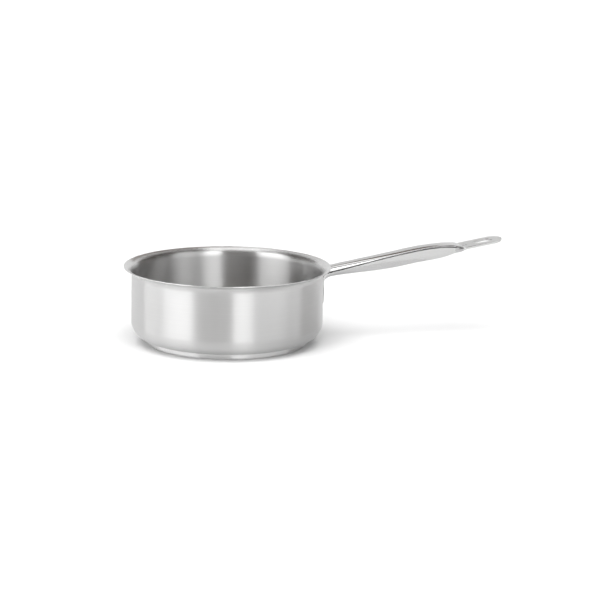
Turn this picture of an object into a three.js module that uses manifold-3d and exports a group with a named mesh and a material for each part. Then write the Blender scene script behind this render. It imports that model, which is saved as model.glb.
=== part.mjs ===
import * as THREE from 'three';
import { mergeVertices } from 'three/addons/utils/BufferGeometryUtils.js';
import Module from 'manifold-3d';

// A stainless saute pan with a sandwich base and a hollow handle of two pressed shells.
// Millimetres, +Z up. The origin is the middle of the base's underside, and the handle points along +X.

const { degToRad } = THREE.MathUtils;

// Body
const bodyDiameter = 240; // outside of the straight wall
const panHeight = 97.7; // underside of the base to the top of the rim
const bodySheet = 1;
const bottomCorner = 22; // outside radius between bottom and wall
const rimReach = 9.7; // how far the pouring rim stands out past the wall
const rimTurn = degToRad(84); // how far the sheet turns outwards in the rim

// Base
const baseDiameter = 199.5;
const baseHeight = 6.7; // thickness of the sandwich under the body
const capSheet = 0.7;
const capEdge = 2.2; // outside radius round the foot of the cap
const coreClearance = 0.3; // all round, between core and cap

// Handle, with lengths measured outwards from the wall
const handleLength = 240; // wall to tip
const handleRise = degToRad(10.1);
const handleSheet = 1.1;
const handleBelowRim = 13.7; // top of the rim down to the joint line at the wall
const wallClearance = 0.3; // between the handle's pieces and the body

// Joint line between the shells, which bows up above the line of the tongue
const jointLiftAtRoot = 6.3;
const jointLiftAtGrip = 9.6;
const jointGroove = 1; // gap between the shells along the grip
const layerGap = 0.3; // gap between the two layers of the tongue
const crownRunOut = 22; // length over which gap and crown fall to the tongue's

// Grip
const rootWidth = 19.5;
const gripWidth = 22.4;
const rootCrown = 5.7; // upper shell above the joint line
const gripCrown = 1.7;
const topFlat = 10; // width of the flat top between its rounded shoulders
const rootBelly = 5.6; // lower shell below the joint line
const gripBelly = 16.3;
const bellyFlat = 4; // width of the flat along the bottom of the belly
const gripRunOut = 80; // length over which the grip falls away to the tongue
const jointBluntness = 2.8; // exponents of that fall
const bellyBluntness = 4.8;

// Tongue
const tongueLength = 53;
const tongueWidth = 35.2;
const tongueFlare = 13; // length over which the grip widens to the tongue
const tongueDroop = 0.9; // how far the tip bends down
const tongueEdge = 0.4; // rounding of the tongue's long edges
const slotLength = 25;
const slotInnerRadius = 5.3;
const slotOuterRadius = 7.4;
const slotToTip = 13;

// Weld plate
const plateWidth = 53;
const plateDrop = 36.9; // joint line down to the plate's lower edge
const plateSquareness = 3.6; // exponent of the plate's outline
const rootFillet = 12; // bend between plate and belly

// Welds
const weldDiameter = 5;
const weldCrown = 0.4; // how far a weld stands proud
const weldClearance = 0.3;
const weldPitch = 13; // between the welds of the plate's lower row
const weldRise = 10.5; // lower row up to the welds at the plate's sides
const weldInset = 7; // plate's sides in to those welds
const tongueWeldInset = 4.5; // from the start of the tongue
const beadWidth = 0.8;
const beadHeight = 0.4;

// Fineness of the curved faces
const turnSteps = 64;
const arcSteps = 4;
const edgeSteps = 2;
const shoulderSteps = 5;
const flatSteps = 2;
const filletSteps = 6;
const stationStep = 5;
const weldSteps = 20;

// Sizes that follow from the ones above
const wallRadius = bodyDiameter / 2;
const baseRadius = baseDiameter / 2;
const rimRadius = rimReach / (1 - Math.cos(rimTurn)); // lower face of the rim's arc
const rimStart = panHeight - (rimRadius + bodySheet) * Math.sin(rimTurn);
const rimCentre = wallRadius + rimRadius;
const tongueStart = handleLength - tongueLength;
const tipCentre = handleLength - tongueWidth / 2;
const gripPeak = tongueStart - gripRunOut; // where the grip is fullest
const jointRootHeight = panHeight - handleBelowRim;
const tongueLineHeight = jointRootHeight - jointLiftAtRoot;
const plateFace = wallClearance + handleSheet;
const weldRadius = weldDiameter / 2;
const weldHole = weldRadius + weldClearance;

const wasm = await Module();
wasm.setup();

// Numbers along the handle

const mix = (from, to, share) => from + (to - from) * share;

// A smooth step from 0 to 1 as x passes from 0 to 1.
function ease(x) {
  return (1 - Math.cos(Math.PI * THREE.MathUtils.clamp(x, 0, 1))) / 2;
}

// How full the handle is at a distance from the wall: rising from the root to the grip, and
// falling from the grip to the tongue.
const swell = (along) => ease(along / gripPeak);

function fullness(along, bluntness) {
  return 1 - THREE.MathUtils.clamp((along - gripPeak) / gripRunOut, 0, 1) ** bluntness;
}

// How far a change that ends at the tongue has gone, for a given length of it.
const runOut = (along, length) => ease((along - tongueStart + length) / length);

function jointHeight(along) {
  const bow = mix(jointLiftAtRoot, jointLiftAtGrip, swell(along)) * fullness(along, jointBluntness);
  const bend = Math.max(0, along - tongueStart) / tongueLength;
  return tongueLineHeight + along * Math.tan(handleRise) + bow - tongueDroop * bend ** 2;
}

function halfGap(along) {
  return mix(jointGroove, layerGap, runOut(along, crownRunOut)) / 2;
}

function halfWidth(along) {
  const grip = mix(rootWidth, gripWidth, swell(along));
  return mix(grip, tongueWidth, runOut(along, tongueFlare)) / 2;
}

function crownHeight(along) {
  const crown = mix(rootCrown, gripCrown, swell(along));
  return mix(crown, handleSheet, runOut(along, crownRunOut));
}

function bellyDepth(along) {
  return mix(handleSheet, mix(rootBelly, gripBelly, swell(along)), fullness(along, bellyBluntness));
}

// One half of a hollow section: a quarter ellipse, a flat stretch and a quarter ellipse,
// from -width to +width and rising to height in the middle. Gives pairs of side and height.
function halfSection(width, height, shoulder) {
  const flat = width - shoulder;
  const points = [];
  for (let i = 0; i <= shoulderSteps; i++) {
    const turn = (i / shoulderSteps) * (Math.PI / 2);
    points.push([-flat - shoulder * Math.cos(turn), height * Math.sin(turn)]);
  }
  for (let i = 1; i < flatSteps; i++) {
    points.push([mix(-flat, flat, i / flatSteps), height]);
  }
  for (let i = shoulderSteps; i >= 0; i--) {
    const turn = (i / shoulderSteps) * (Math.PI / 2);
    points.push([flat + shoulder * Math.cos(turn), height * Math.sin(turn)]);
  }
  return points;
}

// Sections of the two shells at a distance from the wall. The inner face has an inset of one sheet.
function shellSection(along, inset, height, flat) {
  const width = halfWidth(along) - inset;
  const shoulder = mix(width - flat / 2, tongueEdge, runOut(along, tongueFlare));
  return halfSection(width, height - inset, shoulder);
}

function upperSection(along, inset) {
  const foot = jointHeight(along) + halfGap(along);
  const points = shellSection(along, inset, crownHeight(along), topFlat);
  return points.reverse().map(([side, height]) => [side, foot + height]);
}

function lowerSection(along, inset) {
  const top = jointHeight(along) - halfGap(along);
  const points = shellSection(along, inset, bellyDepth(along), bellyFlat);
  return points.map(([side, height]) => [side, top - height]);
}

// Even steps from one distance up to another, which is left out.
function evenly(from, to) {
  const count = Math.ceil((to - from) / stationStep);
  return Array.from({ length: count }, (_, i) => mix(from, to, i / count));
}

// Distances from the wall at which the handle has a section.
function stations(from) {
  return [...evenly(from, tongueStart), ...evenly(tongueStart, handleLength), handleLength];
}

// Solids

// A closed solid between two grids of points, an outer face and an inner face.
function sheetSolid(outer, inner) {
  const rows = outer.length;
  const columns = outer[0].length;
  const at = (row, column) => row * columns + column;
  const under = (row, column) => rows * columns + at(row, column);
  const faces = [];
  const quad = (a, b, c, d) => faces.push(a, b, c, a, c, d);
  for (let r = 0; r + 1 < rows; r++) {
    for (let c = 0; c + 1 < columns; c++) {
      quad(at(r, c), at(r, c + 1), at(r + 1, c + 1), at(r + 1, c));
      quad(under(r, c), under(r + 1, c), under(r + 1, c + 1), under(r, c + 1));
    }
    const last = columns - 1;
    quad(at(r, 0), at(r + 1, 0), under(r + 1, 0), under(r, 0));
    quad(at(r + 1, last), at(r, last), under(r, last), under(r + 1, last));
  }
  for (let c = 0; c + 1 < columns; c++) {
    const last = rows - 1;
    quad(at(0, c + 1), at(0, c), under(0, c), under(0, c + 1));
    quad(at(last, c), at(last, c + 1), under(last, c + 1), under(last, c));
  }
  const geometry = new THREE.BufferGeometry();
  const points = [...outer, ...inner].flat(2);
  geometry.setAttribute('position', new THREE.Float32BufferAttribute(points, 3));
  return geometry.setIndex(faces);
}

function toManifold(geometry) {
  const bare = geometry.clone();
  bare.deleteAttribute('normal');
  bare.deleteAttribute('uv');
  const merged = mergeVertices(bare, 1e-4);
  const vertProperties = new Float32Array(merged.attributes.position.array);
  const triVerts = new Uint32Array(merged.index.array);
  return new wasm.Manifold(new wasm.Mesh({ numProp: 3, vertProperties, triVerts }));
}

function fromManifold(solid) {
  const { vertProperties, triVerts } = solid.getMesh();
  const geometry = new THREE.BufferGeometry();
  geometry.setAttribute('position', new THREE.BufferAttribute(vertProperties, 3));
  return geometry.setIndex(new THREE.BufferAttribute(triVerts, 1));
}

// A profile of radius and height, turned about the vertical axis.
function turned(profile, steps = arcSteps) {
  return new THREE.LatheGeometry(profile.getPoints(steps), turnSteps).rotateX(Math.PI / 2);
}

// Body and base

function bodyGeometry() {
  const profile = new THREE.Path();
  const cornerX = wallRadius - bottomCorner;
  const cornerY = baseHeight + bottomCorner;
  profile.moveTo(0, baseHeight);
  profile.lineTo(cornerX, baseHeight);
  profile.absarc(cornerX, cornerY, bottomCorner, -Math.PI / 2, 0, false);
  profile.absarc(rimCentre, rimStart, rimRadius, Math.PI, Math.PI - rimTurn, true);
  profile.absarc(rimCentre, rimStart, rimRadius + bodySheet, Math.PI - rimTurn, Math.PI, false);
  profile.absarc(cornerX, cornerY, bottomCorner - bodySheet, 0, -Math.PI / 2, true);
  profile.lineTo(0, baseHeight + bodySheet);
  return turned(profile);
}

function baseCapGeometry() {
  const profile = new THREE.Path();
  const edgeX = baseRadius - capEdge;
  profile.moveTo(0, 0);
  profile.lineTo(edgeX, 0);
  profile.absarc(edgeX, capEdge, capEdge, -Math.PI / 2, 0, false);
  profile.lineTo(baseRadius, baseHeight);
  profile.lineTo(baseRadius - capSheet, baseHeight);
  profile.absarc(edgeX, capEdge, capEdge - capSheet, 0, -Math.PI / 2, true);
  profile.lineTo(0, capSheet);
  return turned(profile, edgeSteps);
}

function baseCoreGeometry() {
  const profile = new THREE.Path();
  const coreRadius = baseRadius - capSheet - coreClearance;
  const edgeX = coreRadius - capEdge;
  profile.moveTo(0, capSheet);
  profile.lineTo(edgeX, capSheet);
  profile.absarc(edgeX, capSheet + capEdge, capEdge, -Math.PI / 2, 0, false);
  profile.lineTo(coreRadius, baseHeight);
  profile.lineTo(0, baseHeight);
  return turned(profile, edgeSteps);
}

// The space that the body fills, wall clearance included, which the handle keeps out of.
function bodyKeepOut() {
  const profile = new THREE.Path();
  profile.moveTo(0, 0);
  profile.lineTo(wallRadius + wallClearance, 0);
  const arc = rimRadius - wallClearance;
  profile.absarc(rimCentre, rimStart, arc, Math.PI, Math.PI - rimTurn, true);
  profile.lineTo(0, panHeight);
  return toManifold(turned(profile));
}

// Handle

// The handle seen from above: a round tip and the tapered hanging slot.
function handlePlan() {
  const tipRadius = tongueWidth / 2;
  const plan = new THREE.Shape();
  plan.moveTo(0, -plateWidth);
  plan.lineTo(wallRadius + tipCentre, -plateWidth);
  plan.absarc(wallRadius + tipCentre, 0, tipRadius, -Math.PI / 2, Math.PI / 2, false);
  plan.lineTo(wallRadius + tipCentre, plateWidth);
  plan.lineTo(0, plateWidth);
  const outerX = wallRadius + handleLength - slotToTip - slotOuterRadius;
  const innerX = wallRadius + handleLength - slotToTip - slotLength + slotInnerRadius;
  const taper = Math.asin((slotOuterRadius - slotInnerRadius) / (outerX - innerX));
  const tangent = Math.PI / 2 + taper;
  const slot = new THREE.Path();
  slot.absarc(outerX, 0, slotOuterRadius, -tangent, tangent, false);
  slot.absarc(innerX, 0, slotInnerRadius, tangent, 2 * Math.PI - tangent, false);
  plan.holes.push(slot);
  const depth = 2 * (jointHeight(handleLength) + gripCrown);
  const options = { depth, bevelEnabled: false, curveSegments: 3 * arcSteps };
  return toManifold(new THREE.ExtrudeGeometry(plan, options));
}

// A plug that goes through a sheet, along its own Y axis.
function plugGeometry(radius, length) {
  return new THREE.CylinderGeometry(radius, radius, length, weldSteps);
}

// Places of the welds on the plate, as distance round the wall and height.
function plateWelds() {
  const sideways = plateWidth / 2 - weldInset;
  const low = jointRootHeight - (rootBelly + rootFillet + plateDrop) / 2;
  return [
    [-sideways, low + weldRise],
    [-weldPitch, low],
    [0, low],
    [weldPitch, low],
    [sideways, low + weldRise],
  ];
}

function onWall(mesh, [around, height], out) {
  const turn = around / wallRadius;
  mesh.rotation.set(0, 0, turn - Math.PI / 2);
  mesh.position.set(Math.cos(turn), Math.sin(turn), 0).multiplyScalar(wallRadius + out);
  mesh.position.z = height;
  return mesh;
}

function onTongue(mesh) {
  const along = tongueStart + tongueWeldInset;
  mesh.rotation.set(Math.PI / 2, -handleRise, 0, 'YXZ');
  mesh.position.set(wallRadius + along, 0, jointHeight(along));
  return mesh;
}

// A placed mesh's geometry as a solid in the part's frame.
function placedSolid(mesh) {
  mesh.updateMatrix();
  return toManifold(mesh.geometry.clone().applyMatrix4(mesh.matrix));
}

function tongueWeldHole() {
  const length = 4 * (handleSheet + layerGap);
  return placedSolid(onTongue(new THREE.Mesh(plugGeometry(weldHole, length))));
}

// The upper shell starts inside the wall and is cut back to it.
function upperShellGeometry() {
  const grid = (inset) =>
    stations(-rootWidth / 2).map((along) =>
      upperSection(along, inset).map(([y, z]) => [wallRadius + along, y, z]),
    );
  const shell = toManifold(sheetSolid(grid(0), grid(handleSheet)));
  const trimmed = shell.subtract(bodyKeepOut()).intersect(handlePlan());
  return fromManifold(trimmed.subtract(tongueWeldHole()));
}

// One point of the bend between plate and belly, where the outline of the belly's root
// opens out on to the wall. Turn 0 lies on the plate and a quarter turn lies along the belly.
function bendPoint(column, turn, inset) {
  const radius = rootFillet + inset;
  const out = plateFace - inset + radius * (1 - Math.cos(turn));
  const section = lowerSection(out, 0);
  const [y, z] = section[column];
  const before = section[Math.max(0, column - 1)];
  const after = section[Math.min(section.length - 1, column + 1)];
  const edge = column === 0 || column === section.length - 1;
  const normal = new THREE.Vector2(after[1] - before[1], before[0] - after[0]).normalize();
  if (edge) normal.set(Math.sign(y), 0);
  const spread = rootFillet - radius * Math.sin(turn);
  return { out, y: y + normal.x * spread, z: z + normal.y * spread };
}

// The plate's outline, a square with well rounded corners below the joint line.
function platePoint(share, inset) {
  const angle = Math.PI * share;
  const round = (value) => Math.sign(value) * Math.abs(value) ** (2 / plateSquareness);
  const y = (-plateWidth / 2) * round(Math.cos(angle));
  const z = jointRootHeight - jointGroove / 2 - plateDrop * round(Math.sin(angle));
  return { out: plateFace - inset, y, z };
}

// Bends a point at a distance out from a flat wall on to the round wall.
function wrapped({ out, y, z }) {
  const turn = y / wallRadius;
  const radius = wallRadius + out;
  return [radius * Math.cos(turn), radius * Math.sin(turn), z];
}

function lowerShellGeometry() {
  const columns = lowerSection(0, 0).map((_, column) => column);
  const bends = Array.from({ length: filletSteps + 1 }, (_, i) => (i / filletSteps) * (Math.PI / 2));
  const troughStart = plateFace + rootFillet;
  const grid = (inset) => {
    const outline = columns.map((column) => wrapped(platePoint(column / (columns.length - 1), inset)));
    const bend = bends.map((turn) => columns.map((column) => wrapped(bendPoint(column, turn, inset))));
    const trough = stations(troughStart).slice(1).map((along) =>
      lowerSection(along, inset).map(([y, z]) => [wallRadius + along, y, z]),
    );
    return [outline, ...bend, ...trough];
  };
  let shell = toManifold(sheetSolid(grid(0), grid(handleSheet)));
  shell = shell.intersect(handlePlan()).subtract(tongueWeldHole());
  for (const place of plateWelds()) {
    const hole = onWall(new THREE.Mesh(plugGeometry(weldHole, 4 * plateFace)), place, plateFace);
    shell = shell.subtract(placedSolid(hole));
  }
  return fromManifold(shell);
}

// A bead in the middle of the joint's groove, half a sheet in from the outside.
function seamWeldGeometry(side) {
  const from = plateFace + rootFillet;
  const to = tongueStart - crownRunOut;
  const line = (lift) =>
    [...evenly(from, to), to].map((along) => {
      const middle = side * (halfWidth(along) - handleSheet / 2);
      const z = jointHeight(along) + lift;
      return [middle + beadWidth / 2, middle - beadWidth / 2].map((y) => [wallRadius + along, y, z]);
    });
  return sheetSolid(line(beadHeight / 2), line(-beadHeight / 2));
}

// Assembly

const steel = () => new THREE.MeshStandardMaterial({ color: 0xc6c5c2, roughness: 0.32, metalness: 1 });
const polished = () => new THREE.MeshStandardMaterial({ color: 0xd2d1ce, roughness: 0.18, metalness: 1 });
const aluminium = () => new THREE.MeshStandardMaterial({ color: 0xb9babb, roughness: 0.45, metalness: 1 });
const weldMetal = () => new THREE.MeshStandardMaterial({ color: 0x9d9a95, roughness: 0.5, metalness: 1 });

const pan = new THREE.Group();

function addPiece(name, geometry, material) {
  const mesh = new THREE.Mesh(geometry, material);
  mesh.name = name;
  pan.add(mesh);
  return mesh;
}

addPiece('pan_body', bodyGeometry(), steel());
addPiece('base_core', baseCoreGeometry(), aluminium());
addPiece('base_cap', baseCapGeometry(), polished());
addPiece('handle_upper_shell', upperShellGeometry(), polished());
addPiece('handle_lower_shell', lowerShellGeometry(), polished());
addPiece('seam_weld_left', seamWeldGeometry(1), weldMetal());
addPiece('seam_weld_right', seamWeldGeometry(-1), weldMetal());

const plateWeldLength = handleSheet + weldCrown;
plateWelds().forEach((place, i) => {
  const weld = addPiece(`plate_weld_${i + 1}`, plugGeometry(weldRadius, plateWeldLength), weldMetal());
  onWall(weld, place, wallClearance + plateWeldLength / 2);
});

const tongueWeldLength = 2 * (handleSheet + weldCrown) + layerGap;
onTongue(addPiece('tongue_weld', plugGeometry(weldRadius, tongueWeldLength), weldMetal()));

export default pan;
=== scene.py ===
import math
from itertools import pairwise

import bmesh
import bpy
from mathutils import Matrix, Quaternion, Vector


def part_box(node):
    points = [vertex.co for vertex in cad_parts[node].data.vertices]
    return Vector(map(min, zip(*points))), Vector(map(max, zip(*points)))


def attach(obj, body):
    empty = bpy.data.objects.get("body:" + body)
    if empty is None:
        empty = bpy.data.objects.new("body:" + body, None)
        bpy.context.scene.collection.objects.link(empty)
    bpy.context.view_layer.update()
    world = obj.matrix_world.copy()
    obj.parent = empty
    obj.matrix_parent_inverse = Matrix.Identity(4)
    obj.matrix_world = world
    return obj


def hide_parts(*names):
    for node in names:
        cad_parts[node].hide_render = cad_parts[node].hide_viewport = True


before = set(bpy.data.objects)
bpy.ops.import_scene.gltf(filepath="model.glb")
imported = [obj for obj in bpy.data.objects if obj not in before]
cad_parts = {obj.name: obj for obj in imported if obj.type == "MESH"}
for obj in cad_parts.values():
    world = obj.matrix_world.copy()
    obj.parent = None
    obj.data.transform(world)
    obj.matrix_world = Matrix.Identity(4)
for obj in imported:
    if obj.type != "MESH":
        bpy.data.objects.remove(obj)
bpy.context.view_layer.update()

# A stainless saute pan: drawn body, sandwich base and a hollow handle of two pressed shells.
# Metres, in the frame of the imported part: handle along +X, middle of the base's underside at the origin.

print("frame loaded,", len(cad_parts), "nodes")


# Shader sums

class Wire:  # one socket of a node tree, which can stand in a sum
    def __init__(self, socket):
        self.socket = socket

    def sum(self, operation, first, second):
        node = self.socket.id_data.nodes.new("ShaderNodeMath")
        node.operation = operation
        for socket, value in zip(node.inputs, (first, second)):
            plug(socket, value)
        return Wire(node.outputs[0])

    def __add__(self, other):
        return self.sum("ADD", self, other)

    def __radd__(self, other):
        return self.sum("ADD", other, self)

    def __sub__(self, other):
        return self.sum("SUBTRACT", self, other)

    def __rsub__(self, other):
        return self.sum("SUBTRACT", other, self)

    def __mul__(self, other):
        return self.sum("MULTIPLY", self, other)

    def __rmul__(self, other):
        return self.sum("MULTIPLY", other, self)

    def __pow__(self, other):
        return self.sum("POWER", self, other)

    def __rpow__(self, other):
        return self.sum("POWER", other, self)


def plug(socket, value):  # links a wire, or sets a plain value
    if isinstance(value, Wire):
        socket.id_data.links.new(value.socket, socket)
    else:
        socket.default_value = value


class Bench:  # the node tree of a material or of the world
    def __init__(self, owner):
        owner.use_nodes = True
        self.tree = owner.node_tree
        self.tree.nodes.clear()

    def add(self, kind, settings=None, sockets=None):  # gives the new node's outputs by name
        node = self.tree.nodes.new("ShaderNode" + kind)
        for name, value in (settings or {}).items():
            if name == "stops":
                self.setStops(node.color_ramp, value)
            else:
                setattr(node, name, value)
        for name, value in (sockets or {}).items():
            plug(next(s for s in node.inputs if s.enabled and s.name == name), value)
        return {s.name: Wire(s) for s in node.outputs if s.enabled}

    def setStops(self, ramp, stops):
        for i, (place, tone) in enumerate(stops):
            stop = ramp.elements[i] if i < len(ramp.elements) else ramp.elements.new(place)
            stop.position = place
            stop.color = (tone, tone, tone, 1)


# Finishes

brushing = {  # how the noises of a brushed finish add up
    "fineTone": 0.4,
    "streakTone": 0.3,
    "cloudTone": 0.3,
    "toneStops": [(0.3, 0), (0.7, 1)],
    "fineBump": 0.7,
    "streakBump": 0.3,
    "fineDetail": 3.0,
    "broadDetail": 2.0,
    "shineTurn": 0.25,  # of a full turn, so that highlights stretch across the lines
    "edgeTint": (0.85, 0.85, 0.85, 1),  # steel shines less at its edges than an ideal metal
}


def position(bench):  # x, y and z in metres
    place = bench.add("TexCoord")["Object"]
    return list(bench.add("SeparateXYZ", None, {"Vector": place}).values())


def roundGrain(bench, look):  # lines that run round the pan's axis
    x, y, z = position(bench)
    across = (x * x + y * y) ** 0.5 + z
    return bench.add("CombineXYZ", None, {
        "X": x * (1 / look["lineLength"]),
        "Y": y * (1 / look["lineLength"]),
        "Z": across * (1 / look["lineWidth"]),
    })["Vector"]


def longGrain(bench, look):  # lines that run along the handle
    x, y, z = position(bench)
    return bench.add("CombineXYZ", None, {
        "X": x * (1 / look["lineLength"]),
        "Y": y * (1 / look["lineWidth"]),
        "Z": z * (1 / look["lineWidth"]),
    })["Vector"]


def scaled(bench, vector, factor):
    return bench.add("VectorMath", {"operation": "SCALE"}, {"Vector": vector, "Scale": factor})["Vector"]


def noise(bench, vector, scale, detail):
    return bench.add("TexNoise", None, {"Vector": vector, "Scale": scale, "Detail": detail})["Fac"]


def blend(bench, value, span):  # a smooth step from 0 to 1 over a span of values
    return bench.add("MapRange", {"interpolation_type": "SMOOTHSTEP"},
                     {"Value": value, "From Min": span[0], "From Max": span[1]})["Result"]


def evenly(bench, look):  # roughness of a piece with one finish all over
    return look["roughness"]


def brushed(name, look, grain, zones=evenly):  # metal with fine lines, broader streaks and cloudy patches
    material = bpy.data.materials.new(name)
    bench = Bench(material)
    lines = grain(bench, look)
    fine = noise(bench, lines, 1.0, brushing["fineDetail"])
    streaks = noise(bench, scaled(bench, lines, look["streakShare"]), 1.0, brushing["broadDetail"])
    clouds = noise(bench, bench.add("TexCoord")["Object"], 1 / look["cloudSize"], brushing["broadDetail"])
    tone = fine * brushing["fineTone"] + streaks * brushing["streakTone"] + clouds * brushing["cloudTone"]
    share = bench.add("ValToRGB", {"stops": brushing["toneStops"]}, {"Fac": tone})["Color"]
    colour = bench.add("Mix", {"data_type": "RGBA"},
                       {"Factor": share, "A": (*look["dark"], 1), "B": (*look["light"], 1)})["Result"]
    bump = bench.add("Bump", None, {
        "Strength": look["lineStrength"],
        "Distance": look["lineDepth"],
        "Height": fine * brushing["fineBump"] + streaks * brushing["streakBump"],
    })["Normal"]
    surface = bench.add("BsdfPrincipled", None, {
        "Base Color": colour,
        "Metallic": 1.0,
        "Roughness": zones(bench, look) + (streaks + clouds - 1.0) * look["roughnessSpread"],
        "Anisotropic": look["anisotropy"],
        "Anisotropic Rotation": brushing["shineTurn"],
        "Specular Tint": brushing["edgeTint"],
        "Normal": bump,
    })["BSDF"]
    bench.add("OutputMaterial", None, {"Surface": surface})
    return material


# Curves and meshes

closeBy = 1e-7  # points nearer to each other than this are one


def mix(start, end, share):
    return start + (end - start) * share


def clamp(x):
    return min(1, max(0, x))


def ease(x):  # a smooth step from 0 to 1
    return (1 - math.cos(math.pi * clamp(x))) / 2


def arc(centre, radius, start, end, steps):  # points of an arc, from one angle to another in degrees
    turns = [math.radians(start + (end - start) * i / steps) for i in range(steps + 1)]
    return [(centre[0] + radius * math.cos(t), centre[1] + radius * math.sin(t)) for t in turns]


def line(start, end, steps):  # points between two ends, which are left out
    return [tuple(Vector(start).lerp(Vector(end), i / steps)) for i in range(1, steps)]


def turned(name, profile, steps):  # a closed profile of radius and height, turned about the axis
    shape = bmesh.new()
    rings = []
    for radius, height in profile:
        count = 1 if radius < closeBy else steps
        turns = [2 * math.pi * i / steps for i in range(count)]
        rings.append([shape.verts.new((radius * math.cos(t), radius * math.sin(t), height)) for t in turns])
    for low, high in pairwise(rings):
        for i in range(steps):
            j = i + 1
            corners = (low[i % len(low)], low[j % len(low)], high[j % len(high)], high[i % len(high)])
            shape.faces.new(dict.fromkeys(corners))  # a ring of one point gives triangles
    return toMesh(name, shape)


def grid(shape, rows):  # faces between rows of points
    points = [[shape.verts.new(p) for p in row] for row in rows]
    for a, b in pairwise(points):
        for i, j in pairwise(range(len(a))):
            shape.faces.new((a[i], a[j], b[j], b[i]))
    return points


def sheetBetween(name, outer, inner):  # a closed sheet between two grids of points
    shape = bmesh.new()
    top, under = grid(shape, outer), grid(shape, inner)
    for (a, b), (c, d) in zip(pairwise(top), pairwise(under)):
        shape.faces.new((a[0], b[0], d[0], c[0]))
        shape.faces.new((b[-1], a[-1], c[-1], d[-1]))
    for i, j in pairwise(range(len(top[0]))):
        shape.faces.new((top[0][j], top[0][i], under[0][i], under[0][j]))
        shape.faces.new((top[-1][i], top[-1][j], under[-1][j], under[-1][i]))
    return toMesh(name, shape)


def toMesh(name, shape):
    mesh = bpy.data.meshes.new(name)
    bmesh.ops.recalc_face_normals(shape, faces=shape.faces)
    shape.to_mesh(mesh)
    shape.free()
    return mesh


def smoothed(mesh, sharpest=35):  # smooth faces, with edges kept where they turn by more than this
    mesh.shade_smooth()
    mesh.set_sharp_from_angle(angle=math.radians(sharpest))
    return mesh


def placed(name, mesh):
    thing = bpy.data.objects.new(name, mesh)
    bpy.context.scene.collection.objects.link(thing)
    return thing


def carved(mesh, cuts, edge, sharpest=50, rounds=2):  # cuts a mesh by others, then rounds its sharp edges
    blank = placed(mesh.name + "Blank", mesh)
    tools = []
    for how, tool in cuts:
        tools.append(placed(tool.name, tool))
        cut = blank.modifiers.new("cut", "BOOLEAN")
        cut.operation, cut.object, cut.solver = how, tools[-1], "EXACT"
    bevel = blank.modifiers.new("edge", "BEVEL")
    bevel.width, bevel.segments, bevel.limit_method = edge, rounds, "ANGLE"
    bevel.angle_limit = math.radians(sharpest)
    done = bpy.data.meshes.new_from_object(blank.evaluated_get(bpy.context.evaluated_depsgraph_get()))
    done.name = mesh.name
    for thing in [blank, *tools]:
        bpy.data.objects.remove(thing)
    return done


def piece(name, mesh, finish, slotName, *nodes):  # a finished piece in place of solids of the part
    made = placed(name, mesh)
    mesh.materials.clear()
    mesh.materials.append(finish)
    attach(made, "root")
    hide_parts(*nodes)
    print(name, "made,", len(mesh.polygons), "faces")


# Body

panBody = {
    "wallRadius": 0.12,  # outside of the straight wall
    "sheet": 0.001,
    "cornerRadius": 0.022,  # outside, between bottom and wall
    "rimTurn": 84,  # degrees that the sheet turns outwards in the rim
    "cutEdge": 0.0002,  # rounding of the rim's cut edge
    "polish": (0.003, 0.0085),  # heights above the wall between which it turns into the polished rim
    "steps": 288,  # round the pan
    "flatSteps": 12,
    "curveSteps": 24,  # in the corner and in the rim
    "wallSteps": 16,
    "edgeSteps": 4,
}
panSteel = {
    "dark": (0.65, 0.648, 0.645),
    "light": (0.7, 0.699, 0.697),
    "roughness": 0.36,
    "rimRoughness": 0.25,
    "roughnessSpread": 0.05,
    "anisotropy": 1.0,
    "lineLength": 0.06,
    "lineWidth": 0.00028,
    "streakShare": 0.3,
    "cloudSize": 0.07,
    "lineStrength": 0.35,
    "lineDepth": 0.00002,
}


def rimArc():  # radius and middle of the rim's lower face
    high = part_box("pan_body")[1]
    turn = math.radians(panBody["rimTurn"])
    radius = (high.x - panBody["wallRadius"]) / (1 - math.cos(turn))
    return radius, (panBody["wallRadius"] + radius, high.z - (radius + panBody["sheet"]) * math.sin(turn))


def bodyProfile():  # outside from the middle up to the rim, then inside back to the middle
    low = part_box("pan_body")[0]
    wall, sheet, corner, turn = (panBody[k] for k in ("wallRadius", "sheet", "cornerRadius", "rimTurn"))
    flats, curves, walls = (panBody[k] for k in ("flatSteps", "curveSteps", "wallSteps"))
    rim, rimCentre = rimArc()
    cornerCentre = (wall - corner, low.z + corner)
    foot, mouth = (wall, cornerCentre[1]), (wall, rimCentre[1])
    inFoot, inMouth = (wall - sheet, cornerCentre[1]), (wall - sheet, rimCentre[1])
    edge = panBody["cutEdge"]
    last = 180 - turn + math.degrees(edge / rim)  # where the rim's faces stop short of the cut
    lip = math.radians(180 - turn)
    out = Vector((math.sin(lip), -math.cos(lip)))  # along the sheet, out of the cut
    across = Vector((math.cos(lip), math.sin(lip)))

    def cutCorner(radius, start, end):
        centre = Vector(rimCentre) + across * radius - out * edge
        quarter = arc((0, 0), edge, start, end, panBody["edgeSteps"])
        return [tuple(centre + across * x + out * y) for x, y in quarter]

    return [
        (0, low.z),
        *line((0, low.z), (cornerCentre[0], low.z), flats),
        *arc(cornerCentre, corner, -90, 0, curves),
        *line(foot, mouth, walls),
        *arc(rimCentre, rim, 180, last, curves),
        *cutCorner(rim + edge, 180, 90),
        *cutCorner(rim + sheet - edge, 90, 0),
        *arc(rimCentre, rim + sheet, last, 180, curves),
        *line(inMouth, inFoot, walls),
        *arc(cornerCentre, corner - sheet, 0, -90, curves),
        *line((cornerCentre[0], low.z + sheet), (0, low.z + sheet), flats),
        (0, low.z + sheet),
    ]


def bodyZones(bench, look):  # brushed all over but for the polished rim
    z = position(bench)[2]
    rim = blend(bench, z, [rimArc()[1][1] + rise for rise in panBody["polish"]])
    return look["roughness"] + rim * (look["rimRoughness"] - look["roughness"])


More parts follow.
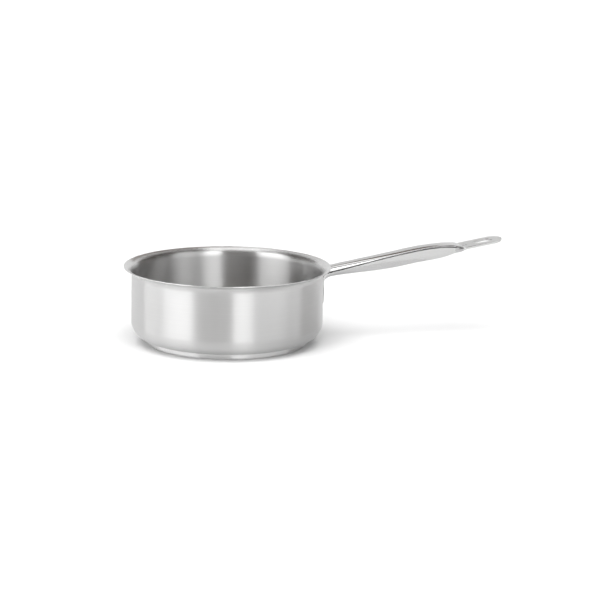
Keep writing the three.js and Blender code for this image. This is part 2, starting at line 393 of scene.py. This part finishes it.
bodyFinish = brushed("brushedRound", panSteel, roundGrain, bodyZones)
body = smoothed(turned("panBody", bodyProfile(), panBody["steps"]))
piece("panBody", body, bodyFinish, "body_steel", "pan_body")


# Base

baseCap = {
    "sheet": 0.0007,
    "footRadius": 0.0022,  # outside rounding round the foot
    "topEdge": 0.0003,
    "steps": 288,  # round the band
    "flatSteps": 14,
    "footSteps": 10,
    "innerFootSteps": 8,
    "bandSteps": 6,
    "edgeSteps": 4,
}
bandSteel = {
    "dark": (0.82, 0.819, 0.817),
    "light": (0.87, 0.869, 0.867),
    "roughness": 0.33,
    "roughnessSpread": 0.05,
    "anisotropy": 1.0,
    "lineLength": 0.08,
    "lineWidth": 0.0004,
    "streakShare": 0.3,
    "cloudSize": 0.05,
    "lineStrength": 0.3,
    "lineDepth": 0.00002,
}
coreMetal = {
    "dark": (0.66, 0.665, 0.67),
    "light": (0.76, 0.765, 0.77),
    "roughness": 0.45,
    "roughnessSpread": 0.1,
    "anisotropy": 0.4,
    "lineLength": 0.05,
    "lineWidth": 0.0006,
    "streakShare": 0.3,
    "cloudSize": 0.04,
    "lineStrength": 0.3,
    "lineDepth": 0.00002,
}


def capProfile():  # outside from the middle up to the band's top, then inside back to the middle
    low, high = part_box("base_cap")
    radius, top, sheet, foot = high.x, high.z, baseCap["sheet"], baseCap["footRadius"]
    footCentre = (radius - foot, low.z + foot)
    edge = baseCap["topEdge"]
    return [
        (0, low.z),
        *line((0, low.z), (footCentre[0], low.z), baseCap["flatSteps"]),
        *arc(footCentre, foot, -90, 0, baseCap["footSteps"]),
        *line((radius, footCentre[1]), (radius, top - edge), baseCap["bandSteps"]),
        *arc((radius - edge, top - edge), edge, 0, 90, baseCap["edgeSteps"]),
        (radius - sheet, top),
        *arc(footCentre, foot - sheet, 0, -90, baseCap["innerFootSteps"]),
        (0, low.z + sheet),
    ]


bandFinish = brushed("polishedBand", bandSteel, roundGrain)
cap = smoothed(turned("baseCap", capProfile(), baseCap["steps"]))
piece("baseCap", cap, bandFinish, "base_steel", "base_cap")
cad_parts["base_core"].data.materials.clear()
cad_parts["base_core"].data.materials.append(brushed("rolledAluminium", coreMetal, longGrain))


# Handle

handle = {
    "rise": 10.1,  # degrees
    "sheet": 0.00115,
    "belowRim": 0.0137,  # top of the rim down to the joint line at the wall
    "liftAtRoot": 0.0063,  # joint line above the line of the tongue
    "liftAtGrip": 0.0096,
    "groove": 0.0016,  # between the shells along the grip
    "layerGap": 0.0001,  # between the layers of the tongue
    "grooveRunOut": 0.006,  # length over which the groove closes to that gap
    "crownRunOut": 0.022,  # length over which the crown falls to the tongue's
    "shoulderRunOut": 0.04,  # length over which the flat top opens out to the tongue
    "rootWidth": 0.0195,
    "gripWidth": 0.0224,
    "rootCrown": 0.0057,  # joint line up to the flat top
    "gripCrown": 0.0017,
    "topFlat": 0.01,
    "rootBelly": 0.0056,  # joint line down to the belly
    "gripBelly": 0.0163,
    "bellyFlat": 0.004,
    "gripRunOut": 0.08,  # length over which the grip thins to the tongue
    "jointBluntness": 2.8,  # higher keeps the lift for longer
    "bellyBluntness": 4.8,
    "tongueLength": 0.053,
    "tongueWidth": 0.0352,
    "tongueFlare": 0.013,  # length over which the grip widens to the tongue
    "tongueDroop": 0.0009,  # at its tip
    "tongueEdge": 0.0004,
    "slotLength": 0.025,
    "slotInner": 0.0053,  # radius of the end towards the pan
    "slotOuter": 0.0074,
    "slotToTip": 0.013,
    "plateWidth": 0.053,
    "plateDrop": 0.0369,
    "plateSquareness": 3.6,  # 2 is an ellipse
    "rootFillet": 0.012,
    "wallGap": 0.0003,  # between the handle and the wall
    "roundedEdge": 0.00012,
    "step": 0.0015,  # between the sections
    "shoulderSteps": 16,
    "flatSteps": 8,
    "plateRows": 8,
    "bendRows": 16,
    "tipSteps": 48,
    "slotSteps": (32, 24),  # round the outer and the inner end
    "wallSteps": 192,  # round the space of the body
    "flareSteps": 20,
}
handleSteel = {
    "dark": (0.555, 0.554, 0.552),
    "light": (0.605, 0.604, 0.602),
    "roughness": 0.16,
    "roughnessSpread": 0.04,
    "anisotropy": 0.0,
    "lineLength": 0.03,
    "lineWidth": 0.0003,
    "streakShare": 0.25,
    "cloudSize": 0.04,
    "lineStrength": 0.2,
    "lineDepth": 0.00001,
}

wallRadius = panBody["wallRadius"]
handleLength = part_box("handle_upper_shell")[1].x - wallRadius
tongueStart = handleLength - handle["tongueLength"]
gripPeak = tongueStart - handle["gripRunOut"]  # where the grip is fullest
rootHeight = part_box("pan_body")[1].z - handle["belowRim"]
plateFace = handle["wallGap"] + handle["sheet"]
cutHeight = 2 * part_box("handle_upper_shell")[1].z  # clear of the whole handle


def swell(along):  # 0 at the root, 1 from where the grip is fullest
    return ease(along / gripPeak)


def fullness(along, bluntness):  # 1 along the grip, 0 on the tongue
    return 1 - clamp((along - gripPeak) / handle["gripRunOut"]) ** bluntness


def runOut(along, length):  # how far a change that ends at the tongue has gone
    return ease((along - tongueStart + length) / length)


def jointHeight(along):
    lift = mix(handle["liftAtRoot"], handle["liftAtGrip"], swell(along))
    bend = max(0, along - tongueStart) / handle["tongueLength"]
    straight = rootHeight - handle["liftAtRoot"] + along * math.tan(math.radians(handle["rise"]))
    return straight + lift * fullness(along, handle["jointBluntness"]) - handle["tongueDroop"] * bend ** 2


def halfGap(along):
    return mix(handle["groove"], handle["layerGap"], runOut(along, handle["grooveRunOut"])) / 2


def halfWidth(along):
    grip = mix(handle["rootWidth"], handle["gripWidth"], swell(along))
    return mix(grip, handle["tongueWidth"], runOut(along, handle["tongueFlare"])) / 2


def crownHeight(along):
    crown = mix(handle["rootCrown"], handle["gripCrown"], swell(along))
    return mix(crown, handle["sheet"], runOut(along, handle["crownRunOut"]))


def bellyDepth(along):
    belly = mix(handle["rootBelly"], handle["gripBelly"], swell(along))
    return mix(handle["sheet"], belly, fullness(along, handle["bellyBluntness"]))


def shellSection(along, inset, height, flat, opening):  # sides and heights, from one side to the other
    width = halfWidth(along) - inset
    shoulder = mix(width - flat / 2, handle["tongueEdge"], runOut(along, opening))
    level = width - shoulder
    bend = arc((0, 0), 1, 0, 90, handle["shoulderSteps"])
    quarter = [(level + shoulder * x, (height - inset) * z) for x, z in bend]
    flatTop = line((-level, height - inset), (level, height - inset), handle["flatSteps"])
    return [(-y, z) for y, z in quarter] + flatTop + quarter[::-1]


def upperSection(along, inset):
    foot = jointHeight(along) + halfGap(along)
    points = shellSection(along, inset, crownHeight(along), handle["topFlat"], handle["shoulderRunOut"])
    return [(wallRadius + along, y, foot + z) for y, z in reversed(points)]


def lowerSection(along, inset):
    top = jointHeight(along) - halfGap(along)
    points = shellSection(along, inset, bellyDepth(along), handle["bellyFlat"], handle["tongueFlare"])
    return [(wallRadius + along, y, top - z) for y, z in points]


def stations(start, end):  # places of the sections along the handle
    count = math.ceil((end - start) / handle["step"])
    return [mix(start, end, i / count) for i in range(count + 1)]


def extruded(name, outline, low, high):  # a flat outline as an upright block
    shape = bmesh.new()
    foot, head = grid(shape, [[(x, y, z) for x, y in [*outline, outline[0]]] for z in (low, high)])
    shape.faces.new(foot[:-1])
    shape.faces.new(head[:-1])
    bmesh.ops.remove_doubles(shape, verts=shape.verts, dist=closeBy)
    return toMesh(name, shape)


def tipBlock():  # all that lies inside the round tip, seen from above
    radius = handle["tongueWidth"] / 2
    centre = (wallRadius + handleLength - radius, 0)
    side = handle["plateWidth"]
    tip = arc(centre, radius, -90, 90, handle["tipSteps"])
    outline = [(0, -side), (centre[0], -side), *tip, (centre[0], side), (0, side)]
    return extruded("tipBlock", outline, 0, cutHeight)


def slotBlock():  # the tapered hanging slot
    small, large = handle["slotInner"], handle["slotOuter"]
    end = wallRadius + handleLength - handle["slotToTip"]
    outerX, innerX = end - large, end - handle["slotLength"] + small
    tangent = 90 + math.degrees(math.asin((large - small) / (outerX - innerX)))
    outerSteps, innerSteps = handle["slotSteps"]
    outerEnd = arc((outerX, 0), large, -tangent, tangent, outerSteps)
    innerEnd = arc((innerX, 0), small, tangent, 360 - tangent, innerSteps)
    return extruded("slotBlock", outerEnd + innerEnd, 0, cutHeight)


def bodySpace():  # what the body fills, with a gap round it, which the upper shell keeps out of
    gap = handle["wallGap"]
    rim, rimCentre = rimArc()
    flare = arc(rimCentre, rim - gap, 180, 180 - panBody["rimTurn"], handle["flareSteps"])
    profile = [(0, 0), (wallRadius + gap, 0), *flare, (0, flare[-1][1])]
    return turned("bodySpace", profile, handle["wallSteps"])


def wrapped(out, y, z):  # a point out from a flat wall, bent on to the round wall
    turn, radius = y / wallRadius, wallRadius + out
    return (radius * math.cos(turn), radius * math.sin(turn), z)


def plateOutline(count, inset):  # the plate's edge, a square with well rounded corners
    power = 2 / handle["plateSquareness"]
    points = []
    for i in range(count):
        c, s = math.cos(math.pi * i / (count - 1)), math.sin(math.pi * i / (count - 1))
        y = -handle["plateWidth"] / 2 * math.copysign(abs(c) ** power, c)
        z = rootHeight - handle["groove"] / 2 - handle["plateDrop"] * abs(s) ** power
        points.append((plateFace - inset, y, z))
    return points


def bendRow(turn, inset):  # one row of the bend between plate and belly
    radius = handle["rootFillet"] + inset
    out = plateFace - inset + radius * (1 - math.cos(turn))
    spread = handle["rootFillet"] - radius * math.sin(turn)
    section = [(y, z) for x, y, z in lowerSection(out, 0)]
    row = []
    for i, (y, z) in enumerate(section):
        before, after = section[max(0, i - 1)], section[min(len(section) - 1, i + 1)]
        normal = Vector((after[1] - before[1], before[0] - after[0])).normalized()
        if i in (0, len(section) - 1):
            normal = Vector((math.copysign(1, y), 0))
        row.append((out, y + normal.x * spread, z + normal.y * spread))
    return row


def lowerGrid(inset):  # rows of the plate, of its bend and of the trough
    bendRows, plateRows = handle["bendRows"], handle["plateRows"]
    bends = [bendRow(math.pi / 2 * i / bendRows, inset) for i in range(bendRows + 1)]
    outline = plateOutline(len(bends[0]), inset)
    plate = [[tuple(Vector(a).lerp(Vector(b), i / plateRows)) for a, b in zip(outline, bends[0])]
             for i in range(plateRows)]
    root = [[wrapped(*point) for point in row] for row in plate + bends]
    trough = stations(plateFace + handle["rootFillet"], handleLength)[1:]
    return root + [lowerSection(along, inset) for along in trough]


# Welds

welds = {
    "hole": 0.0028,  # radius of the holes in the sheets
    "shank": 0.0025,
    "head": 0.0031,  # radius of the button over the hole
    "crown": 0.0004,
    "tongueCrown": 0.0001,  # ground nearly flush on the tongue
    "dimple": 0.4,  # of the crown
    "dimpleWidth": 0.8,  # of the shank
    "beadWidth": 0.0008,
    "beadDepth": 0.0008,  # from the handle's side to the bead's middle
    "beadHeight": 0.0004,
    "beadTaper": 0.025,  # of the bead's length, at each end
    "bluntness": 0.04,  # of the taper's end
    "rippleLength": 0.0014,
    "rippleDepth": 0.1,  # of the bead
    "pinSteps": 40,
    "headSteps": 48,
    "crownSteps": 6,
    "dimpleSteps": 8,
    "rippleSteps": 6,
    "beadSteps": 12,
}
weldMetal = {
    "dark": (0.47, 0.462, 0.45),
    "light": (0.6, 0.595, 0.588),
    "roughness": 0.3,
    "roughnessSpread": 0.15,
    "anisotropy": 0.0,
    "lineLength": 0.002,
    "lineWidth": 0.0003,
    "streakShare": 0.4,
    "cloudSize": 0.002,
    "lineStrength": 0.4,
    "lineDepth": 0.00002,
}
shadedSeamMetal = {  # the weld in the groove, painted darker as the groove's shade
    **weldMetal,
    "dark": (0.16, 0.156, 0.15),
    "light": (0.3, 0.295, 0.288),
    "roughness": 0.4,
}
plateWelds = sorted(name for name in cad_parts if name.startswith("plate_weld"))


def weldPlace(node):  # turns +Z along a weld, and moves the origin to its middle
    low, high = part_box(node)
    middle = (low + high) / 2
    if node == "tongue_weld":
        return Matrix.Translation(middle) @ Matrix.Rotation(-math.radians(handle["rise"]), 4, "Y")
    out = Vector((middle.x, middle.y, 0))
    return Matrix.Translation(middle) @ out.to_track_quat("Z", "Y").to_matrix().to_4x4()


def weldPin(node):  # a round pin through the middle of a weld
    radius, length = welds["hole"], 2 * welds["hole"]
    profile = [(0, -length), (radius, -length), (radius, length), (0, length)]
    pin = turned(node + "Pin", profile, welds["pinSteps"])
    pin.transform(weldPlace(node))
    return pin


def weldHead(face, crown):  # profile of a button over a sheet's face, from its rim to its dimpled middle
    ring = arc((welds["head"] - crown, face), crown, 0, 90, welds["crownSteps"])
    width, steps = welds["shank"] * welds["dimpleWidth"], welds["dimpleSteps"]
    hollow = [(width * (1 - i / steps), face + crown * (1 - welds["dimple"] * ease(i / steps)))
              for i in range(1, steps + 1)]
    return [(welds["shank"], face), *ring, *hollow]


def plateWeldMesh(node):  # a shank in its hole, with a button outside
    low = -(handle["sheet"] + welds["crown"]) / 2
    head = weldHead(low + handle["sheet"], welds["crown"])
    mesh = turned(node, [(0, low), (welds["shank"], low), *head], welds["headSteps"])
    mesh.transform(weldPlace(node))
    return mesh


def tongueWeldMesh(node):  # a shank through both layers, with a button on each
    half = weldHead(handle["sheet"] + handle["layerGap"] / 2, welds["tongueCrown"])
    mesh = turned(node, [*((r, -z) for r, z in reversed(half)), *half], welds["headSteps"])
    mesh.transform(weldPlace(node))
    return mesh


def beadMesh(name, side):  # a rippled bead in the groove, on one side of the handle
    start, end = plateFace + handle["rootFillet"], tongueStart - handle["grooveRunOut"]
    count = math.ceil((end - start) / welds["rippleLength"] * welds["rippleSteps"])
    circle = arc((0, 0), 1, 0, 360, welds["beadSteps"])
    rings = []
    for i in range(count + 1):
        along = mix(start, end, i / count)
        taper = clamp(min(i, count - i) / count / welds["beadTaper"] + welds["bluntness"]) ** 0.5
        ripple = 1 + welds["rippleDepth"] * math.sin(2 * math.pi * along / welds["rippleLength"])
        wide, high = (welds[k] * taper * ripple / 2 for k in ("beadWidth", "beadHeight"))
        y, z = side * (halfWidth(along) - welds["beadDepth"]), jointHeight(along)
        rings.append([(wallRadius + along, y + c * wide, z + s * high) for c, s in circle])
    shape = bmesh.new()
    points = grid(shape, rings)
    shape.faces.new(points[0][:-1])
    shape.faces.new(points[-1][:-1])
    bmesh.ops.remove_doubles(shape, verts=shape.verts, dist=closeBy)
    return toMesh(name, shape)


def upperShell():
    along = stations(-handle["rootWidth"] / 2, handleLength)
    outer, inner = ([upperSection(a, inset) for a in along] for inset in (0, handle["sheet"]))
    sheet = sheetBetween("handleUpper", outer, inner)
    cuts = [
        ("DIFFERENCE", bodySpace()),
        ("INTERSECT", tipBlock()),
        ("DIFFERENCE", slotBlock()),
        ("DIFFERENCE", weldPin("tongue_weld")),
    ]
    return carved(sheet, cuts, handle["roundedEdge"])


def lowerShell():
    sheet = sheetBetween("handleLower", lowerGrid(0), lowerGrid(handle["sheet"]))
    pins = [("DIFFERENCE", weldPin(node)) for node in [*plateWelds, "tongue_weld"]]
    cuts = [("INTERSECT", tipBlock()), ("DIFFERENCE", slotBlock()), *pins]
    return carved(sheet, cuts, handle["roundedEdge"])


handleFinish = brushed("satinLong", handleSteel, longGrain)
weldFinish = brushed("groundWeld", weldMetal, longGrain)
# weld beads in the groove, with the groove's shade painted into their colour
shadedSeamFinish = brushed("seamWithPaintedShade", shadedSeamMetal, longGrain)
piece("handleUpper", smoothed(upperShell()), handleFinish, "handle_steel", "handle_upper_shell")
piece("handleLower", smoothed(lowerShell()), handleFinish, "handle_steel", "handle_lower_shell")
for node in plateWelds:
    name = node.replace("plate_weld_", "plateWeld")
    piece(name, smoothed(plateWeldMesh(node)), weldFinish, "weld_metal", node)
piece("tongueWeld", smoothed(tongueWeldMesh("tongue_weld")), handleFinish, "weld_metal", "tongue_weld")
piece("seamBeadLeft", smoothed(beadMesh("seamBeadLeft", 1)), shadedSeamFinish, "weld_metal", "seam_weld_left")
piece("seamBeadRight", smoothed(beadMesh("seamBeadRight", -1)), shadedSeamFinish, "weld_metal", "seam_weld_right")


# Studio

scene = bpy.context.scene
scene.view_settings.view_transform = "Standard"

viewpoint = {
    "azimuth": -15.32,  # degrees, counted as direction() counts them
    "elevation": 11.98,
    "distance": 4.0,
    "aim": (0.0881, -0.0241, 0.0554),
    "roll": 0.75,
    "lens": 191.4,  # on a 36 mm sensor
    "farthest": 100,  # that the camera sees
}
room = {
    "floorTone": 0.94,
    "floorSize": 30,
    "skyLight": 0.05,  # light of the white room on the floor
}
lamps = {  # soft lamps for the floor: degrees to the right of the camera and up
    "frontLamp": {"from": (-10, 56), "light": 2.75, "angle": 66},
    "topLamp": {"from": (-90, 78), "light": 0.9, "angle": 60},
    "rightLamp": {"from": (100, 62), "light": 0.6, "angle": 60},
}
white = (1.0, 1.0, 1.0)
warm = (1.2, 1.0, 0.88)  # faintly brown
cards = {  # curved panels that only the metal sees: degrees to the right of the camera and up
    "darkCurtain": {"sides": (-142, 142), "rise": (17, 75), "distance": 3.6, "level": 0.045, "tint": warm},
    "lowScreen": {"sides": (-41, 98), "rise": (0, 10), "distance": 2.8, "level": 1.25, "tint": white},
    "cameraScreen": {"sides": (-37, 8), "rise": (0, 22), "distance": 3.2, "level": 0.09, "tint": warm},
    "rightScreen": {"sides": (98, 142), "rise": (0, 22), "distance": 3.2, "level": 0.06, "tint": warm},
    "leftScreen": {"sides": (-142, -112), "rise": (0, 10), "distance": 3.2, "level": 1.1, "tint": white},
    "leftSoftbox": {"sides": (-84, -40), "rise": (4, 55), "distance": 3.0, "level": 2.55, "tint": white},
    "leftReflector": {"sides": (-112, -84), "rise": (0, 10), "distance": 3.0, "level": 3.0, "tint": white},
    "rightSoftbox": {"sides": (9, 33), "rise": (8, 55), "distance": 3.0, "level": 2.9, "tint": white},
    "rightReflector": {"sides": (33, 78), "rise": (9, 52), "distance": 3.0, "level": 1.2, "tint": white},
}
panels = {  # flat panels that only the metal sees: metres right of the pan, behind it and up
    "overheadSoftbox": {"across": (-0.6, 0.3), "behind": (-0.35, 1.2), "height": (1.8, 1.8), "level": 1.65,
                        "tint": white},
    "handleFlag": {"across": (-0.05, 0.3), "behind": (1.0, 1.0), "height": (0.48, 1.7), "level": 0.2,
                   "tint": warm},
}
paintedShadowFloor = {  # a glowing ring that stands for the floor as the metal sees it, with painted shadow, in metres from the pan's middle
    "radii": (0.1025, 0.3),
    "height": 0.0008,
    "level": 1.1,
    "contactShadowReach": (0.1025, 0.125),  # where the painted contact shadow round the base runs out
    # painted contact shadow: the ring's tone at the base's edge
    "contactShadowTone": 0.45,
    "span": (-0.3, 0.3),  # from left to right
    # painted shadow tones from left to right, darkest to the right of the pan
    "paintedShadowTones": [(0.0, 0.95), (0.3, 0.95), (0.45, 0.88), (0.55, 0.86), (0.66, 0.6), (0.74, 0.6), (0.85, 0.88)],
}


def direction(azimuth, elevation):  # one metre out from the pan, by degrees round and up
    a, e = math.radians(azimuth), math.radians(elevation)
    return Vector((math.sin(a) * math.cos(e), -math.cos(a) * math.cos(e), math.sin(e)))


def makeCamera():
    camera = bpy.data.objects.new("camera", bpy.data.cameras.new("camera"))
    scene.collection.objects.link(camera)
    back = direction(viewpoint["azimuth"], viewpoint["elevation"])
    camera.data.lens = viewpoint["lens"]
    camera.data.clip_end = viewpoint["farthest"]
    camera.location = Vector(viewpoint["aim"]) + back * viewpoint["distance"]
    turn = (-back).to_track_quat("-Z", "Y") @ Quaternion((0, 0, 1), math.radians(viewpoint["roll"]))
    camera.rotation_euler = turn.to_euler()
    scene.camera = camera


def makeFloor():
    half = room["floorSize"] / 2
    shape = bmesh.new()
    grid(shape, [[(-half, -half, 0), (half, -half, 0)], [(-half, half, 0), (half, half, 0)]])
    floor = placed("floor", toMesh("floor", shape))
    material = bpy.data.materials.new("paleFloor")
    bench = Bench(material)
    tone = room["floorTone"]
    surface = bench.add("BsdfDiffuse", None, {"Color": (tone, tone, tone, 1)})["BSDF"]
    bench.add("OutputMaterial", None, {"Surface": surface})
    floor.data.materials.append(material)


def makeSky():  # a white room, which lights the floor much less than it shows
    world = bpy.data.worlds.new("whiteRoom")
    scene.world = world
    bench = Bench(world)
    path = bench.add("LightPath")
    seen = path["Is Camera Ray"] + path["Is Glossy Ray"] + path["Is Transmission Ray"]
    strength = room["skyLight"] + seen * (1 - room["skyLight"])
    surface = bench.add("Background", None, {"Color": (1, 1, 1, 1), "Strength": strength})["Background"]
    bench.add("OutputWorld", None, {"Surface": surface})


def makeLamp(name, lamp):
    sun = bpy.data.objects.new(name, bpy.data.lights.new(name, "SUN"))
    scene.collection.objects.link(sun)
    sun.data.energy = lamp["light"]
    sun.data.angle = math.radians(lamp["angle"])
    side, up = lamp["from"]
    sun.rotation_euler = direction(viewpoint["azimuth"] + side, up).to_track_quat("Z", "Y").to_euler()
    sun.visible_glossy = False


def makeCard(name, rows, level, paint):  # a glowing panel in the metal's surroundings
    shape = bmesh.new()
    grid(shape, rows)
    panel = placed(name, toMesh(name, shape))
    material = bpy.data.materials.new(name)
    bench = Bench(material)
    light = bench.add("Emission", None, {"Color": paint(bench), "Strength": level})["Emission"]
    bench.add("OutputMaterial", None, {"Surface": light})
    panel.data.materials.append(material)
    panel.visible_camera = panel.visible_diffuse = panel.visible_shadow = False


def tinted(card):  # one colour all over
    return lambda bench: (*card["tint"], 1)


def paintedFloorShadow(bench):  # painted shadow: darkest to the right of the pan, where its shadow lies, and darker close round the base
    x, y = position(bench)[:2]
    right = direction(viewpoint["azimuth"] + 90, 0)
    low, high = paintedShadowFloor["span"]
    share = (x * right.x + y * right.y - low) * (1 / (high - low))
    paintedShadowTones = bench.add("ValToRGB", {"stops": paintedShadowFloor["paintedShadowTones"]}, {"Fac": share})["Color"]
    # painted contact shadow, fading out away from the base
    contactShadowFade = blend(bench, (x * x + y * y) ** 0.5, paintedShadowFloor["contactShadowReach"])
    return scaled(bench, paintedShadowTones, mix(paintedShadowFloor["contactShadowTone"], 1, contactShadowFade))


def ringed(ring, steps=96):  # a flat ring round the pan
    turns = [direction(360 * i / steps, 0) for i in range(steps + 1)]
    up = Vector((0, 0, ring["height"]))
    return [[turn * radius + up for turn in turns] for radius in ring["radii"]]


def curved(card, steps=24):  # a panel that bends round the pan and over it
    sides = [viewpoint["azimuth"] + mix(*card["sides"], i / steps) for i in range(steps + 1)]
    rises = [mix(*card["rise"], i / steps) for i in range(steps + 1)]
    return [[direction(side, rise) * card["distance"] for side in sides] for rise in rises]


def flat(panel):  # a panel with straight edges
    right, back = direction(viewpoint["azimuth"] + 90, 0), direction(viewpoint["azimuth"] + 180, 0)
    return [[right * x + back * y + Vector((0, 0, z)) for x in panel["across"]]
            for y, z in zip(panel["behind"], panel["height"])]


makeCamera()
makeFloor()
makeSky()
for name, lamp in lamps.items():
    makeLamp(name, lamp)
for name, card in cards.items():
    makeCard(name, curved(card), card["level"], tinted(card))
for name, panel in panels.items():
    makeCard(name, flat(panel), panel["level"], tinted(panel))
makeCard("paintedShadowFloor", ringed(paintedShadowFloor), paintedShadowFloor["level"], paintedFloorShadow)
print("studio ready")
